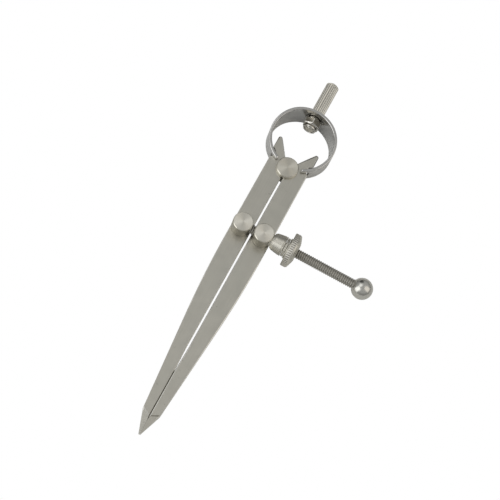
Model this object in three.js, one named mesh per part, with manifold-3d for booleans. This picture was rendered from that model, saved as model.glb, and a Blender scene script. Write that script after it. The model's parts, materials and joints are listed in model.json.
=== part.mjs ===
// Flat-leg spring divider, 150 mm class, closed. Millimetres, +Z out of the front of the flat legs,
// +Y from the points towards the handle, +X towards the ball on the adjusting screw.
// The origin is the centre of the fulcrum stud's back face, on the axis both legs swing about.

import * as THREE from 'three';
import { mergeVertices } from 'three/addons/utils/BufferGeometryUtils.js';
import Module from 'manifold-3d';

const wasm = await Module();
wasm.setup();

// ---------- driving dimensions ----------

const ROUND_SIDES = 48;              // facets of a turned surface
const FIT_GAP = 0.1;                 // running clearance between pieces that slide or seat
const BORE_GAP = 0.12;               // radial clearance round the screw and the shanks

const LEG_LENGTH = 150;              // fulcrum axis to the points
const LEG_THICKNESS = 4;
const LEG_HALF_SPAN = 10.4;          // outer edge from the tool's centre line
const LEG_TAPER = 0.0928;            // sideways travel of the tapered edge per millimetre of length
const LEG_BEND_RADIUS = 520;         // large arc between the parallel and the tapered edge
const LEG_BEND_CENTRE_Y = -69.6;     // where the parallel and tapered edges would cross
const LEG_SPLIT_GAP = 0.5;           // relieved inner edge from the centre line
const LEG_TIP_GAP = 0.14;            // inner edge from the centre line where the points meet
const LEG_RELIEF_END_Y = -103;
const LEG_MEETING_Y = -126;
const POINT_KINK_X = 4.35;           // where the outer edge turns in to the point
const POINT_KINK_Y = -138.4;
const POINT_BEVEL_Y = -140.9;        // start of the ground bevels, at the inner edge
const POINT_BEVEL_SKEW = 0.5;        // radians, the bevel's line rises towards the outer edge
const POINT_HALF_THICKNESS = 0.3;

const HORN_HALF_ANGLE = 33.7 * Math.PI / 180;
const HORN_TIP = [10.05, 13.25];     // centre of the round end
const HORN_TIP_RADIUS = 1.05;
const HORN_FOOT = [11.05, 7.2];      // outer corner above the spring notch
const NOTCH_TOP = [9.1, 5.6];
const NOTCH_BOTTOM = [9.3, 2.9];
const SHOULDER_Y = 1.9;

const FLANGE_RADIUS = 5.45;          // both heads of the fulcrum stud
const FLANGE_THICKNESS = 1.7;
const WAIST_RADIUS = 3.2;            // the round body the legs rock on
const EDGE_BREAK = 0.35;             // chamfer on turned edges

const LEG_BACK_Z = FLANGE_THICKNESS + FIT_GAP;
const LEG_FRONT_Z = LEG_BACK_Z + LEG_THICKNESS;
const LEG_MID_Z = (LEG_BACK_Z + LEG_FRONT_Z) / 2;

const BOW_CENTRE_Y = 16.6;
const BOW_OUTER_RADIUS = 16.9;
const BOW_THICKNESS = 1.5;
const BOW_INNER_RADIUS = BOW_OUTER_RADIUS - BOW_THICKNESS;
const BOW_CROWN_WIDTH = 14.6;
const BOW_END_WIDTH = 8.2;
const BOW_TAPER_TOP_Y = 30;          // full width from here over the crown
const BOW_END_ANGLE = 66.8 * Math.PI / 180;   // end of the fork, below the ring's X axis
const BOW_FORK_ANGLE = 52 * Math.PI / 180;    // root of the fork
const BOW_FORK_WIDTH = 4.5;

const HANDLE_RADIUS = 3.35;
const HANDLE_TOP_Y = 54.3;
const HANDLE_CHAMFER = 0.9;
const HANDLE_SHANK_RADIUS = 2.4;
const HANDLE_SHANK_END_Y = 25.7;

const WASHER_RADIUS = 3.7;
const WASHER_THICKNESS = 0.7;
const WASHER_TOP_Y = 31.45;
const LOCK_NUT_FLATS = 8;
const LOCK_NUT_HEX_HEIGHT = 3.1;
const LOCK_NUT_COLLAR_RADIUS = 3.45;
const LOCK_NUT_HEIGHT = 5;

const POST_X = 5.65;
const POST_Y = -39;
const POST_RADIUS = 4.85;
const POST_TOP_Z = LEG_FRONT_Z + 7.5;
const POST_BASE_Z = LEG_FRONT_Z + FIT_GAP;
const SPIGOT_RADIUS = 2.5;
const SPIGOT_END_Z = 0.2;
const CLIP_GROOVE_RADIUS = 2;
const CLIP_GROOVE_Z = [0.55, 1.15];
const BACK_WASHER_RADIUS = 4;
const BACK_WASHER_Z = [1.2, 1.7];
const CLIP_RADIUS = 3.5;
const CLIP_MOUTH_ANGLE = 0.5;        // half of the clip's open mouth, radians

const SCREW_RADIUS = 2.38;           // 4.76 mm thread with 24 turns in 25.4 mm
const SCREW_Z = LEG_FRONT_Z + 3.9;
const SCREW_START_X = -9;
const SCREW_END_X = 54.6;
const SCREW_TENON_RADIUS = 1.6;
const SCREW_TENON_END_X = 57.6;
const PIN_RADIUS = 0.75;
const PIN_END_Y = POST_Y - 0.8;
const BALL_X = 58.8;
const BALL_RADIUS = 5.25;

const BUSH_SPIGOT_X = 8.3;
const BUSH_SPIGOT_RADIUS = 3.05;
const BUSH_START_X = 10.75;
const BUSH_END_X = 16.9;
const BUSH_NOSE_RADIUS = 3.6;        // chamfered nose, clears the leg swung out under it
const BUSH_NOSE_LENGTH = 1;
const BUSH_START_RADIUS = 4.3;
const BUSH_END_RADIUS = 5.05;
const THRUST_WASHER_X = [17, 18.3];
const THRUST_WASHER_RADIUS = 4.7;

const NUT_START_X = 18.4;
const NUT_SHOULDER_RADIUS = 5.2;
const NUT_RIM_X = [19.1, 22.35];
const NUT_RIM_RADIUS = 8.5;
const NUT_RIM_BREAK = 0.2;
const NUT_RIM_SHOULDER = [0.85, 0.45];   // length and drop of the sloped far edge of the rim
const NUT_DISH = [23.35, 5.4];       // x and radius where the cone meets the end face
const NUT_END_X = 23.7;
const NUT_HUB_RADIUS = 4.1;

// ---------- finishes ----------

const finish = (color, roughness) =>
  new THREE.MeshStandardMaterial({ color, roughness, metalness: 1 });
const SATIN_STEEL = () => finish(0x9a978f, 0.38);
const TURNED_STEEL = () => finish(0xa8a59b, 0.3);
const SPRING_STEEL = () => finish(0x9fa0a3, 0.22);
const DARK_THREAD = () => finish(0x64615a, 0.45);
const POLISHED_BALL = () => finish(0xb4b1a8, 0.12);
const NUT_STEEL = () => finish(0x8f8c82, 0.28);

// ---------- solids ----------

function solidOf(geometry) {
  const bare = geometry.index ? geometry.toNonIndexed() : geometry.clone();
  for (const name of Object.keys(bare.attributes)) {
    if (name !== 'position') bare.deleteAttribute(name);
  }
  const merged = mergeVertices(bare, 1e-4);
  return new wasm.Manifold(new wasm.Mesh({
    numProp: 3,
    vertProperties: new Float32Array(merged.attributes.position.array),
    triVerts: new Uint32Array(merged.index.array),
  }));
}

function geometryOf(solid) {
  const mesh = solid.getMesh();
  const geometry = new THREE.BufferGeometry();
  geometry.setAttribute('position', new THREE.BufferAttribute(new Float32Array(mesh.vertProperties), 3));
  geometry.setIndex(new THREE.BufferAttribute(new Uint32Array(mesh.triVerts), 1));
  geometry.computeVertexNormals();
  return geometry;
}

function box(low, high) {
  const size = low.map((value, i) => high[i] - value);
  const geometry = new THREE.BoxGeometry(...size);
  geometry.translate(...low.map((value, i) => (value + high[i]) / 2));
  return geometry;
}

// A turned piece from [along, radius] pairs, about the axis named, standing at the point given.
function turned(profile, axis, at, sides = ROUND_SIDES) {
  const points = profile.map(([along, radius]) => new THREE.Vector2(radius, along));
  const geometry = new THREE.LatheGeometry(points, sides);
  if (axis === 'z') geometry.rotateX(Math.PI / 2);
  if (axis === 'x') geometry.rotateZ(-Math.PI / 2);
  geometry.translate(...at);
  return geometry;
}

// Lathe profiles run from low to high along the axis on the outside.
function rod(from, to, radius, axis, at, sides = ROUND_SIDES) {
  return turned([[from, 0], [from, radius], [to, radius], [to, 0]], axis, at, sides);
}

function tube(from, to, innerRadius, outerRadius, axis, at) {
  const profile = [[from, innerRadius], [from, outerRadius], [to, outerRadius], [to, innerRadius],
    [from, innerRadius]];
  return turned(profile, axis, at);
}

function named(name, geometry, material) {
  const mesh = new THREE.Mesh(geometry, material);
  mesh.name = name;
  return mesh;
}

// ---------- legs ----------

// Outline of one leg; side is -1 for the left leg and 1 for the right.
function legOutline(side) {
  const shape = new THREE.Shape();
  const to = (x, y) => shape.lineTo(side * x, y);
  const arc = (cx, cy, radius, from, end) => {
    const steps = Math.max(4, Math.ceil(Math.abs(end - from) / (2 * Math.PI) * ROUND_SIDES));
    for (let i = 0; i <= steps; i += 1) {
      const angle = from + (end - from) * i / steps;
      to(cx + radius * Math.cos(angle), cy + radius * Math.sin(angle));
    }
  };
  shape.moveTo(side * LEG_TIP_GAP, -LEG_LENGTH);
  to(LEG_TIP_GAP + POINT_HALF_THICKNESS, -LEG_LENGTH);
  to(POINT_KINK_X, POINT_KINK_Y);
  const bend = Math.atan(LEG_TAPER);
  const tangent = LEG_BEND_RADIUS * Math.tan(bend / 2);
  const bendSteps = 8;
  for (let i = 0; i <= bendSteps; i += 1) {
    const angle = bend * (1 - i / bendSteps);
    to(LEG_HALF_SPAN - LEG_BEND_RADIUS * (1 - Math.cos(angle)),
      LEG_BEND_CENTRE_Y + tangent - LEG_BEND_RADIUS * Math.sin(angle));
  }
  to(LEG_HALF_SPAN, SHOULDER_Y);
  to(...NOTCH_BOTTOM);
  to(...NOTCH_TOP);
  to(...HORN_FOOT);
  arc(...HORN_TIP, HORN_TIP_RADIUS, 0, Math.PI - HORN_HALF_ANGLE);
  const seatRadius = WAIST_RADIUS + FIT_GAP;
  const seatEnd = Math.asin(LEG_SPLIT_GAP / seatRadius) - Math.PI / 2;
  arc(0, 0, seatRadius, Math.PI / 2 - HORN_HALF_ANGLE, seatEnd);
  to(LEG_SPLIT_GAP, LEG_RELIEF_END_Y);
  to(LEG_TIP_GAP, LEG_MEETING_Y);
  shape.closePath();
  return shape;
}

// A block whose lower face is the ground bevel of one face of the point.
function pointBevel(side, face) {
  const reach = 40;
  const run = LEG_LENGTH + POINT_BEVEL_Y;
  const slope = Math.atan((LEG_THICKNESS / 2 - POINT_HALF_THICKNESS) / run);
  const block = box([-reach, -reach, 0], [reach, reach, reach]);
  block.rotateX(slope);
  if (face < 0) block.rotateY(Math.PI);
  block.rotateZ(side * POINT_BEVEL_SKEW);
  block.translate(side * LEG_TIP_GAP, POINT_BEVEL_Y, LEG_MID_Z + face * LEG_THICKNESS / 2);
  return block;
}

function leg(name, side) {
  const plate = new THREE.ExtrudeGeometry(legOutline(side), { depth: LEG_THICKNESS, bevelEnabled: false });
  plate.translate(0, 0, LEG_BACK_Z);
  const holeRadius = SPIGOT_RADIUS + FIT_GAP;
  const hole = rod(LEG_BACK_Z - 1, LEG_FRONT_Z + 1, holeRadius, 'z', [side * POST_X, POST_Y, 0]);
  const solid = solidOf(plate)
    .subtract(solidOf(hole))
    .subtract(solidOf(pointBevel(side, 1)))
    .subtract(solidOf(pointBevel(side, -1)));
  return named(name, geometryOf(solid), SATIN_STEEL());
}

// ---------- fulcrum ----------

function fulcrumStud() {
  const waistStart = FLANGE_THICKNESS;
  const waistEnd = LEG_FRONT_Z + FIT_GAP;
  const top = waistEnd + FLANGE_THICKNESS;
  const profile = [
    [0, 0], [0, FLANGE_RADIUS - EDGE_BREAK], [EDGE_BREAK, FLANGE_RADIUS], [waistStart, FLANGE_RADIUS],
    [waistStart, WAIST_RADIUS], [waistEnd, WAIST_RADIUS], [waistEnd, FLANGE_RADIUS],
    [top - EDGE_BREAK, FLANGE_RADIUS], [top, FLANGE_RADIUS - EDGE_BREAK], [top, 0],
  ];
  return named('fulcrum_stud', turned(profile, 'z', [0, 0, 0]), TURNED_STEEL());
}

// ---------- bow spring ----------

// The ring as seen from the front: an open band between two arcs, mouth at the bottom.
function bowOutline() {
  const shape = new THREE.Shape();
  const start = -BOW_END_ANGLE;
  const end = Math.PI + BOW_END_ANGLE;
  const steps = 84;
  const point = (radius, i) => {
    const angle = start + (end - start) * i / steps;
    return [radius * Math.cos(angle), BOW_CENTRE_Y + radius * Math.sin(angle)];
  };
  shape.moveTo(...point(BOW_OUTER_RADIUS, 0));
  for (let i = 1; i <= steps; i += 1) shape.lineTo(...point(BOW_OUTER_RADIUS, i));
  for (let i = steps; i >= 0; i -= 1) shape.lineTo(...point(BOW_INNER_RADIUS, i));
  shape.closePath();
  return shape;
}

// The strip as seen from the side: wide over the crown, narrowing to the forked ends.
function bowSideProfile() {
  const top = BOW_CENTRE_Y + BOW_OUTER_RADIUS + 1;
  const bottom = BOW_CENTRE_Y - BOW_OUTER_RADIUS - 1;
  const wide = BOW_CROWN_WIDTH / 2;
  const narrow = BOW_END_WIDTH / 2;
  const shape = new THREE.Shape();
  shape.moveTo(-wide, top);
  shape.lineTo(-wide, BOW_TAPER_TOP_Y);
  shape.lineTo(-narrow, bottom);
  shape.lineTo(narrow, bottom);
  shape.lineTo(wide, BOW_TAPER_TOP_Y);
  shape.lineTo(wide, top);
  shape.closePath();
  const reach = BOW_OUTER_RADIUS + 1;
  const prism = new THREE.ExtrudeGeometry(shape, { depth: 2 * reach, bevelEnabled: false });
  prism.translate(0, 0, -reach);
  prism.rotateY(Math.PI / 2);
  prism.translate(0, 0, LEG_MID_Z);
  return prism;
}

function forkSlot(side) {
  const reach = 12;
  const half = BOW_FORK_WIDTH / 2;
  const slot = box([BOW_INNER_RADIUS - 2, -reach, -half], [BOW_OUTER_RADIUS + 2, 0, half]);
  slot.rotateZ(-BOW_FORK_ANGLE);
  if (side < 0) slot.rotateY(Math.PI);
  slot.translate(0, BOW_CENTRE_Y, LEG_MID_Z);
  return slot;
}

function bowSpring() {
  const ring = new THREE.ExtrudeGeometry(bowOutline(), { depth: BOW_CROWN_WIDTH, bevelEnabled: false });
  ring.translate(0, 0, LEG_MID_Z - BOW_CROWN_WIDTH / 2);
  const holeEnd = BOW_CENTRE_Y + BOW_OUTER_RADIUS + 2;
  const crownHole = rod(BOW_CENTRE_Y, holeEnd, HANDLE_SHANK_RADIUS + BORE_GAP, 'y', [0, 0, LEG_MID_Z]);
  const solid = solidOf(ring)
    .intersect(solidOf(bowSideProfile()))
    .subtract(solidOf(forkSlot(-1)))
    .subtract(solidOf(forkSlot(1)))
    .subtract(solidOf(crownHole));
  return named('bow_spring', geometryOf(solid), SPRING_STEEL());
}

// ---------- handle and its nut ----------

function handle() {
  const seat = BOW_CENTRE_Y + BOW_OUTER_RADIUS + FIT_GAP;
  const profile = [
    [HANDLE_SHANK_END_Y, 0], [HANDLE_SHANK_END_Y, HANDLE_SHANK_RADIUS - EDGE_BREAK],
    [HANDLE_SHANK_END_Y + EDGE_BREAK, HANDLE_SHANK_RADIUS],
    [seat, HANDLE_SHANK_RADIUS], [seat, HANDLE_RADIUS],
    [HANDLE_TOP_Y - HANDLE_CHAMFER, HANDLE_RADIUS], [HANDLE_TOP_Y, HANDLE_RADIUS - HANDLE_CHAMFER],
    [HANDLE_TOP_Y, 0],
  ];
  return named('knurled_handle', turned(profile, 'y', [0, 0, LEG_MID_Z]), TURNED_STEEL());
}

function handleWasher() {
  const inner = HANDLE_SHANK_RADIUS + BORE_GAP;
  const bottom = WASHER_TOP_Y - WASHER_THICKNESS;
  const ring = tube(bottom, WASHER_TOP_Y, inner, WASHER_RADIUS, 'y', [0, 0, LEG_MID_Z]);
  return named('handle_washer', ring, NUT_STEEL());
}

function lockNut() {
  const top = WASHER_TOP_Y - WASHER_THICKNESS - FIT_GAP;
  const hexBottom = top - LOCK_NUT_HEX_HEIGHT;
  const bottom = top - LOCK_NUT_HEIGHT;
  const cornerRadius = LOCK_NUT_FLATS / 2 / Math.cos(Math.PI / 6);
  const at = [0, 0, LEG_MID_Z];
  const hex = rod(hexBottom, top, cornerRadius, 'y', at, 6);
  const collar = turned([
    [bottom, 0], [bottom, LOCK_NUT_COLLAR_RADIUS - EDGE_BREAK],
    [bottom + EDGE_BREAK, LOCK_NUT_COLLAR_RADIUS],
    [hexBottom + 1, LOCK_NUT_COLLAR_RADIUS], [hexBottom + 1, 0],
  ], 'y', at);
  const bore = rod(bottom - 1, top + 1, HANDLE_SHANK_RADIUS + BORE_GAP, 'y', at);
  const solid = solidOf(hex).add(solidOf(collar)).subtract(solidOf(bore));
  return named('handle_lock_nut', geometryOf(solid), NUT_STEEL());
}

// ---------- posts ----------

function postBody(side) {
  const [grooveLow, grooveHigh] = CLIP_GROOVE_Z;
  const profile = [
    [SPIGOT_END_Z, 0], [SPIGOT_END_Z, SPIGOT_RADIUS - EDGE_BREAK / 2],
    [SPIGOT_END_Z + EDGE_BREAK / 2, SPIGOT_RADIUS],
    [grooveLow, SPIGOT_RADIUS], [grooveLow, CLIP_GROOVE_RADIUS], [grooveHigh, CLIP_GROOVE_RADIUS],
    [grooveHigh, SPIGOT_RADIUS], [POST_BASE_Z, SPIGOT_RADIUS], [POST_BASE_Z, POST_RADIUS],
    [POST_TOP_Z - EDGE_BREAK, POST_RADIUS], [POST_TOP_Z, POST_RADIUS - EDGE_BREAK], [POST_TOP_Z, 0],
  ];
  return solidOf(turned(profile, 'z', [side * POST_X, POST_Y, 0]));
}

function leftPost() {
  const bore = rod(SCREW_START_X - FIT_GAP, 0, SCREW_RADIUS + BORE_GAP, 'x', [0, POST_Y, SCREW_Z]);
  const pinHole = rod(POST_Y, POST_Y + POST_RADIUS + 1, PIN_RADIUS + FIT_GAP, 'y', [-POST_X, 0, SCREW_Z]);
  const solid = postBody(-1).subtract(solidOf(bore)).subtract(solidOf(pinHole));
  return named('left_post', geometryOf(solid), TURNED_STEEL());
}

function rightPost() {
  const bore = rod(0, POST_X + POST_RADIUS + 1, SCREW_RADIUS + 2 * BORE_GAP, 'x', [0, POST_Y, SCREW_Z]);
  const seat = rod(BUSH_SPIGOT_X - FIT_GAP, POST_X + POST_RADIUS + 1, BUSH_SPIGOT_RADIUS + FIT_GAP, 'x',
    [0, POST_Y, SCREW_Z]);
  const solid = postBody(1).subtract(solidOf(bore)).subtract(solidOf(seat));
  return named('right_post', geometryOf(solid), TURNED_STEEL());
}

function backWasher(name, side) {
  const [low, high] = BACK_WASHER_Z;
  const at = [side * POST_X, POST_Y, 0];
  const ring = tube(low, high, SPIGOT_RADIUS + FIT_GAP, BACK_WASHER_RADIUS, 'z', at);
  return named(name, ring, TURNED_STEEL());
}

// A spring clip: a flat ring with an open mouth, sitting in the spigot's groove.
function retainingClip(name, side) {
  const [low, high] = CLIP_GROOVE_Z;
  const inner = CLIP_GROOVE_RADIUS + FIT_GAP / 2;
  const start = CLIP_MOUTH_ANGLE - Math.PI / 2;
  const sweep = 2 * Math.PI - 2 * CLIP_MOUTH_ANGLE;
  const steps = 36;
  const shape = new THREE.Shape();
  const point = (radius, i) => {
    const angle = start + sweep * i / steps;
    return [radius * Math.cos(angle), radius * Math.sin(angle)];
  };
  shape.moveTo(...point(CLIP_RADIUS, 0));
  for (let i = 1; i <= steps; i += 1) shape.lineTo(...point(CLIP_RADIUS, i));
  for (let i = steps; i >= 0; i -= 1) shape.lineTo(...point(inner, i));
  shape.closePath();
  const thickness = high - low - FIT_GAP;
  const clip = new THREE.ExtrudeGeometry(shape, { depth: thickness, bevelEnabled: false });
  clip.translate(side * POST_X, POST_Y, low + FIT_GAP / 2);
  return named(name, clip, NUT_STEEL());
}

// ---------- adjusting screw ----------

function adjustingScrew() {
  const profile = [
    [SCREW_START_X, 0], [SCREW_START_X, SCREW_RADIUS - EDGE_BREAK],
    [SCREW_START_X + EDGE_BREAK, SCREW_RADIUS], [SCREW_END_X, SCREW_RADIUS],
    [SCREW_END_X, SCREW_TENON_RADIUS], [SCREW_TENON_END_X, SCREW_TENON_RADIUS], [SCREW_TENON_END_X, 0],
  ];
  const stem = turned(profile, 'x', [0, POST_Y, SCREW_Z]);
  const pinHole = rod(PIN_END_Y - FIT_GAP, POST_Y + SCREW_RADIUS + 1, PIN_RADIUS + FIT_GAP, 'y',
    [-POST_X, 0, SCREW_Z]);
  return named('adjusting_screw', geometryOf(solidOf(stem).subtract(solidOf(pinHole))), DARK_THREAD());
}

function screwPin() {
  const outerEnd = POST_Y + POST_RADIUS - FIT_GAP;
  const pin = rod(PIN_END_Y, outerEnd, PIN_RADIUS, 'y', [-POST_X, 0, SCREW_Z], 24);
  return named('screw_pin', pin, NUT_STEEL());
}

function ball() {
  const sphere = new THREE.SphereGeometry(BALL_RADIUS, ROUND_SIDES, ROUND_SIDES / 2);
  sphere.translate(BALL_X, POST_Y, SCREW_Z);
  const bore = rod(BALL_X - 2 * BALL_RADIUS, SCREW_TENON_END_X + FIT_GAP, SCREW_TENON_RADIUS + FIT_GAP, 'x',
    [0, POST_Y, SCREW_Z]);
  const seat = rod(BALL_X - 2 * BALL_RADIUS, SCREW_END_X + FIT_GAP, SCREW_RADIUS + FIT_GAP, 'x',
    [0, POST_Y, SCREW_Z]);
  const solid = solidOf(sphere).subtract(solidOf(bore)).subtract(solidOf(seat));
  return named('stop_ball', geometryOf(solid), POLISHED_BALL());
}

// ---------- bush, washer and nut ----------

function thrustBush() {
  const inner = SCREW_RADIUS + 1.5 * BORE_GAP;
  const profile = [
    [BUSH_SPIGOT_X, inner], [BUSH_SPIGOT_X, BUSH_SPIGOT_RADIUS], [BUSH_START_X, BUSH_SPIGOT_RADIUS],
    [BUSH_START_X, BUSH_NOSE_RADIUS], [BUSH_START_X + BUSH_NOSE_LENGTH, BUSH_START_RADIUS],
    [BUSH_END_X - EDGE_BREAK, BUSH_END_RADIUS],
    [BUSH_END_X, BUSH_END_RADIUS - EDGE_BREAK], [BUSH_END_X, inner], [BUSH_SPIGOT_X, inner],
  ];
  return named('thrust_bush', turned(profile, 'x', [0, POST_Y, SCREW_Z]), TURNED_STEEL());
}

function thrustWasher() {
  const [low, high] = THRUST_WASHER_X;
  const inner = SCREW_RADIUS + 1.5 * BORE_GAP;
  const ring = tube(low, high, inner, THRUST_WASHER_RADIUS, 'x', [0, POST_Y, SCREW_Z]);
  return named('thrust_washer', ring, TURNED_STEEL());
}

function knurledNut() {
  const inner = SCREW_RADIUS + BORE_GAP;
  const [rimLow, rimHigh] = NUT_RIM_X;
  const [slopeLength, slopeDrop] = NUT_RIM_SHOULDER;
  const profile = [
    [NUT_START_X, inner], [NUT_START_X, NUT_SHOULDER_RADIUS], [rimLow, NUT_SHOULDER_RADIUS],
    [rimLow, NUT_RIM_RADIUS - NUT_RIM_BREAK], [rimLow + NUT_RIM_BREAK, NUT_RIM_RADIUS],
    [rimHigh - slopeLength, NUT_RIM_RADIUS], [rimHigh, NUT_RIM_RADIUS - slopeDrop], NUT_DISH,
    [NUT_END_X, NUT_HUB_RADIUS], [NUT_END_X, inner], [NUT_START_X, inner],
  ];
  return named('knurled_nut', turned(profile, 'x', [0, POST_Y, SCREW_Z]), TURNED_STEEL());
}

// ---------- assembly ----------

const divider = new THREE.Group();
divider.add(
  fulcrumStud(), bowSpring(), handle(), handleWasher(), lockNut(),
  leg('left_leg', -1), leg('right_leg', 1),
  leftPost(), rightPost(),
);
for (const [label, side] of [['left', -1], ['right', 1]]) {
  divider.add(backWasher(`${label}_post_washer`, side));
  divider.add(retainingClip(`${label}_post_clip`, side));
}
divider.add(adjustingScrew(), screwPin(), ball());
divider.add(thrustBush(), thrustWasher(), knurledNut());

export default divider;
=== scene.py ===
"""Looks of a flat-leg spring divider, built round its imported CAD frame.

Every sub-assembly is a class: its fields are real sizes in millimetres, and its methods make the finished
pieces, give them their steel and hang them on the CAD body they move with. The row frame is used
throughout: +Y from the points to the handle, +Z out of the legs' front, +X towards the ball.
"""

import json
import logging
import math
from collections.abc import Callable, Sequence
from dataclasses import dataclass
from enum import Enum, IntEnum
from functools import partial

import bmesh
import bpy
from bmesh.types import BMEdge, BMesh, BMFace, BMVert
from bpy.types import ID, Material, Mesh, Node, NodeSocket, NodeTree, Object
from mathutils import Matrix, Quaternion, Vector


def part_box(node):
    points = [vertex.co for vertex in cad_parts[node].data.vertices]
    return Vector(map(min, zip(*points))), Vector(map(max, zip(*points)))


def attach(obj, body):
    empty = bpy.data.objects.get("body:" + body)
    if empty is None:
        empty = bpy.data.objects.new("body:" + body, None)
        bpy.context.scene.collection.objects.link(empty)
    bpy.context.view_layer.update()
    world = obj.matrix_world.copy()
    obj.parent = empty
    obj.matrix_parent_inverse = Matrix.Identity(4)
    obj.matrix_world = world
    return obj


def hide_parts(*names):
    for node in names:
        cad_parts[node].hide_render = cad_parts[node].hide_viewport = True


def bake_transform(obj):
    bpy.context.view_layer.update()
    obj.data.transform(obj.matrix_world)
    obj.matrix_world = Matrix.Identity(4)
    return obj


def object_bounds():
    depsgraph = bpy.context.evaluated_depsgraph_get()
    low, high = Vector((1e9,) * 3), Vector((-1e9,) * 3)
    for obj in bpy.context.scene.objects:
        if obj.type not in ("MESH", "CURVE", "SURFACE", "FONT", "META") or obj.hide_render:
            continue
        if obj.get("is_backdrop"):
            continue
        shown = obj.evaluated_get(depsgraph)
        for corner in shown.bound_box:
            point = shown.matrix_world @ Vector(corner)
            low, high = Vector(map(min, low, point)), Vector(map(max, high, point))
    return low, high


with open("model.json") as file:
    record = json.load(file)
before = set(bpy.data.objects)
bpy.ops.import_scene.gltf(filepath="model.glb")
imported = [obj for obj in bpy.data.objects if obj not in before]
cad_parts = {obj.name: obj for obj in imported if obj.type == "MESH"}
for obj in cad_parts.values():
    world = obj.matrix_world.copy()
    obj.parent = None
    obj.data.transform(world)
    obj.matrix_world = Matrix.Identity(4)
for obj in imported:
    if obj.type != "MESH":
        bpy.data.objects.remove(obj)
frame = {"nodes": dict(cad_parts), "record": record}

log = logging.getLogger("divider")

MM = 0.001
STEPS = 96  # facets round a turned surface
SHARP = math.radians(20)  # edges bent further than this shade as edges
WELD = 2e-6  # metres between points that are one point
CUT = 1e-8  # metres that a point may lie off a cutting plane and still be on it
EXACT = 1e-7  # metres between places that were drawn as one place
SLOPING = (0.3, 0.95)  # how far along its axis the normal of a turned chamfer points
CREST_REACH = 0.05  # mm below a knurl's crests from which teeth are pressed
SPAN_REACH = 0.01  # mm past the ends of a knurl from which they are

# Noise features to the metre.
PATCHES = 180.0
CLOUDS = 55.0
SPECKS = 620.0
WEAR = 900.0
HAIRS = (2600.0, 300.0, 2600.0)

Profile = Sequence[tuple[float, float]]


class Axis(Enum):
    """The axes that a piece can be turned about."""

    X = (1.0, 0.0, 0.0)
    Y = (0.0, 1.0, 0.0)
    Z = (0.0, 0.0, 1.0)

    @property
    def vector(self) -> Vector:
        """The axis as a direction."""
        return Vector(self.value)

    @property
    def side(self) -> Vector:
        """The direction, square to the axis, in which a profile's radius is drawn."""
        return Vector((0.0, 0.0, 1.0)) if self is not Axis.Z else Vector((1.0, 0.0, 0.0))


class Layer(IntEnum):
    """The material numbers of a finished mesh."""

    BODY = 0
    EDGE = 1
    DETAIL = 2


# ---------- reading the frame ----------


def low(node: str) -> Vector:
    """The lowest corner of a CAD node's box, in metres."""
    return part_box(node)[0]


def high(node: str) -> Vector:
    """The highest corner of a CAD node's box, in metres."""
    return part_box(node)[1]


def middle(node: str) -> Vector:
    """The centre of a CAD node's box, in metres."""
    corner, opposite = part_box(node)
    return (corner + opposite) / 2


def half_height(node: str) -> float:
    """Half of a CAD node's height along Z, in metres."""
    return (high(node).z - low(node).z) / 2


def on_axis(point: Vector, axis: Axis) -> Vector:
    """A point moved along an axis onto the plane through the origin."""
    return point - axis.vector * point.dot(axis.vector)


# ---------- node materials ----------


def linear(code: str) -> tuple[float, float, float, float]:
    """Turn an sRGB hex colour into the linear colour that a shader reads.

    Args:
        code: six hex digits.

    Returns:
        Red, green, blue and alpha.
    """
    channels = [int(code[i : i + 2], 16) / 255 for i in (0, 2, 4)]
    red, green, blue = (c / 12.92 if c <= 0.04045 else ((c + 0.055) / 1.055) ** 2.4 for c in channels)
    return red, green, blue, 1.0


def wire(tree: NodeTree, node: Node, inputs: dict) -> None:
    """Set a node's inputs.

    Args:
        tree: the node tree.
        node: the node.
        inputs: a value, or another node's output to link, for each input by name or number.
    """
    for key, value in inputs.items():
        if isinstance(value, NodeSocket):
            tree.links.new(value, node.inputs[key])
        else:
            node.inputs[key].default_value = value


def add(tree: NodeTree, kind: str, inputs: dict | None = None, **settings: object) -> Node:
    """Add one shader node with its settings and links.

    Args:
        tree: the node tree.
        kind: Blender's name for the node, after ShaderNode.
        inputs: what wire() is to set.
        settings: attributes of the node itself.

    Returns:
        The node.
    """
    node = tree.nodes.new(f"ShaderNode{kind}")
    for key, value in settings.items():
        setattr(node, key, value)
    wire(tree, node, inputs or {})
    return node


def mixed(tree: NodeTree, share: object, first: object, second: object) -> NodeSocket:
    """Mix two colours. Only its number tells a Mix node's colour socket from the others.

    Args:
        tree: the node tree.
        share: how much of the second, a number or an output to link.
        first: a colour, or an output to link.
        second: the same for the second colour.

    Returns:
        The mixed colour.
    """
    return add(tree, "Mix", {0: share, 6: first, 7: second}, data_type="RGBA").outputs[2]


def blank_material(name: str) -> tuple[Material, NodeTree]:
    """Make a material with no nodes.

    Args:
        name: the material's name.

    Returns:
        The material and its node tree.
    """
    material = bpy.data.materials.new(name)
    material.use_nodes = True
    material.node_tree.nodes.clear()
    return material, material.node_tree


def object_place(tree: NodeTree) -> NodeSocket:
    """The Object coordinates of the point being shaded."""
    return add(tree, "TexCoord").outputs["Object"]


def noise(tree: NodeTree, place: NodeSocket, scale: float, detail: float) -> NodeSocket:
    """Noise from 0 to 1 at a place, with so many features to the metre and so many octaves."""
    return add(tree, "TexNoise", {"Vector": place, "Scale": scale, "Detail": detail}).outputs["Fac"]


def ranged(
    tree: NodeTree, value: NodeSocket, source: tuple[float, float], target: tuple[float, float] = (0.0, 1.0)
) -> NodeSocket:
    """Map a value from one range to another, and keep it inside the second.

    Args:
        tree: the node tree.
        value: the value.
        source: the range it comes in.
        target: the range it is mapped to.

    Returns:
        The mapped value.
    """
    inputs = {"Value": value, "From Min": source[0], "From Max": source[1]}
    inputs |= {"To Min": target[0], "To Max": target[1]}
    return add(tree, "MapRange", inputs).outputs["Result"]


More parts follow.
